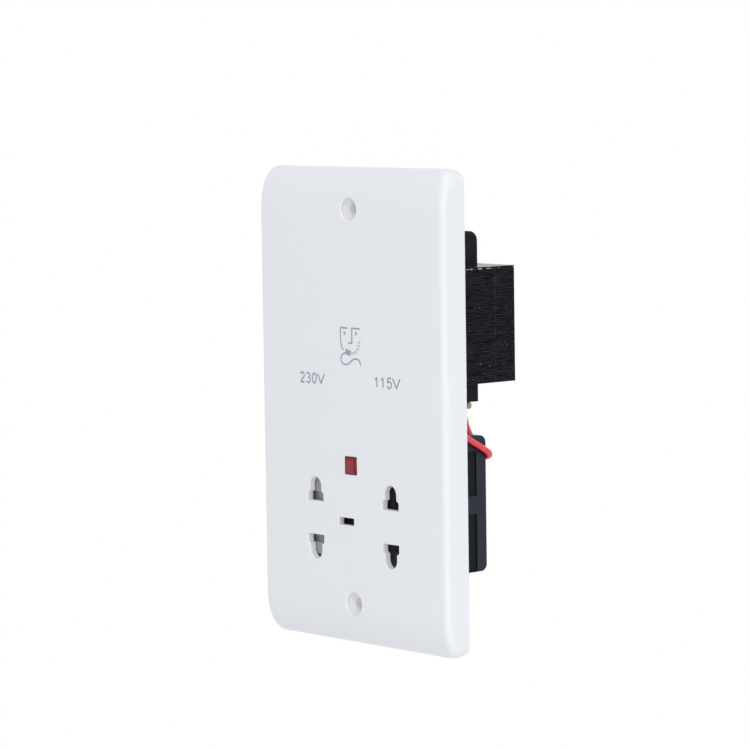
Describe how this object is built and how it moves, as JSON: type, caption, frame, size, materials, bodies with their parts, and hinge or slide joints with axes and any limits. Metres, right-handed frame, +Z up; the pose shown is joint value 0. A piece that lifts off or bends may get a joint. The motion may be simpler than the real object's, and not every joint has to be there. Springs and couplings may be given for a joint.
{
  "type": "shaver socket",
  "caption": "Dual-voltage shaver socket: white wall plate with pin apertures, a sliding interlock shutter and a pilot lamp, and an isolating transformer and contact box behind.",
  "frame": {"origin": "midpoint between the two wall-fixing holes, in the plane of the plate's rear rim, which is the wall's face", "axes": "+X to the right of someone who faces the plate, +Y into the wall, +Z up"},
  "size_m": [0.086, 0.0463, 0.146],
  "materials": {
    "plate_white": "smooth moulded thermoset, semi-gloss",
    "shutter_white": "smooth moulded nylon",
    "lens_red": "clear red moulding",
    "lamp_glass": "clear glass",
    "resistor_tan": "lacquered",
    "housing_black": "fine satin moulding",
    "contact_bronze": "sprung strip",
    "terminal_brass": "machined",
    "screw_steel": "zinc plated",
    "core_varnish": "black varnish over stacked sheet edges",
    "bobbin_plastic": "moulded nylon",
    "winding_copper": "enamelled wire",
    "cap_black": "satin moulding",
    "fuse_tan": "ceramic body",
    "lead_red": "smooth insulation",
    "lead_black": "smooth insulation",
    "lead_brown": "smooth insulation",
    "lead_white": "smooth insulation",
    "sleeve_yellow": "soft sleeve"
  },
  "bodies": {
    "housing": {"front_plate": "plate_white", "pilot_lens": "lens_red", "pilot_lamp": "lamp_glass", "lamp_resistor": "resistor_tan", "lamp_lead_neutral": "lead_black", "lamp_lead_live": "lead_red", "contact_base": "housing_black", "contact_cover": "housing_black", "contact_230v": "contact_bronze", "contact_115v": "contact_bronze", "contact_common": "contact_bronze", "terminal_live": "terminal_brass", "terminal_neutral": "terminal_brass", "terminal_earth": "terminal_brass", "terminal_screws": "screw_steel", "housing_screws": "screw_steel", "cover_screws": "screw_steel", "transformer_screws": "screw_steel", "core_e_stack": "core_varnish", "core_i_stack": "core_varnish", "coil_bobbin": "bobbin_plastic", "primary_winding": "winding_copper", "secondary_winding": "winding_copper", "coil_cover_upper": "cap_black", "coil_cover_lower": "cap_black", "thermal_fuse": "fuse_tan", "lead_live": "lead_red", "lead_sleeve": "sleeve_yellow", "lead_neutral": "lead_black", "lead_115v": "lead_red", "lead_230v": "lead_brown", "lead_common": "lead_white"},
    "shutter": {"interlock_shutter": "shutter_white"}
  },
  "joints": [
    {"name": "shutter_slide", "type": "slide", "parent": "housing", "child": "shutter", "axis": [1, 0, 0], "range_m": [0, 0.0122]}
  ]
}
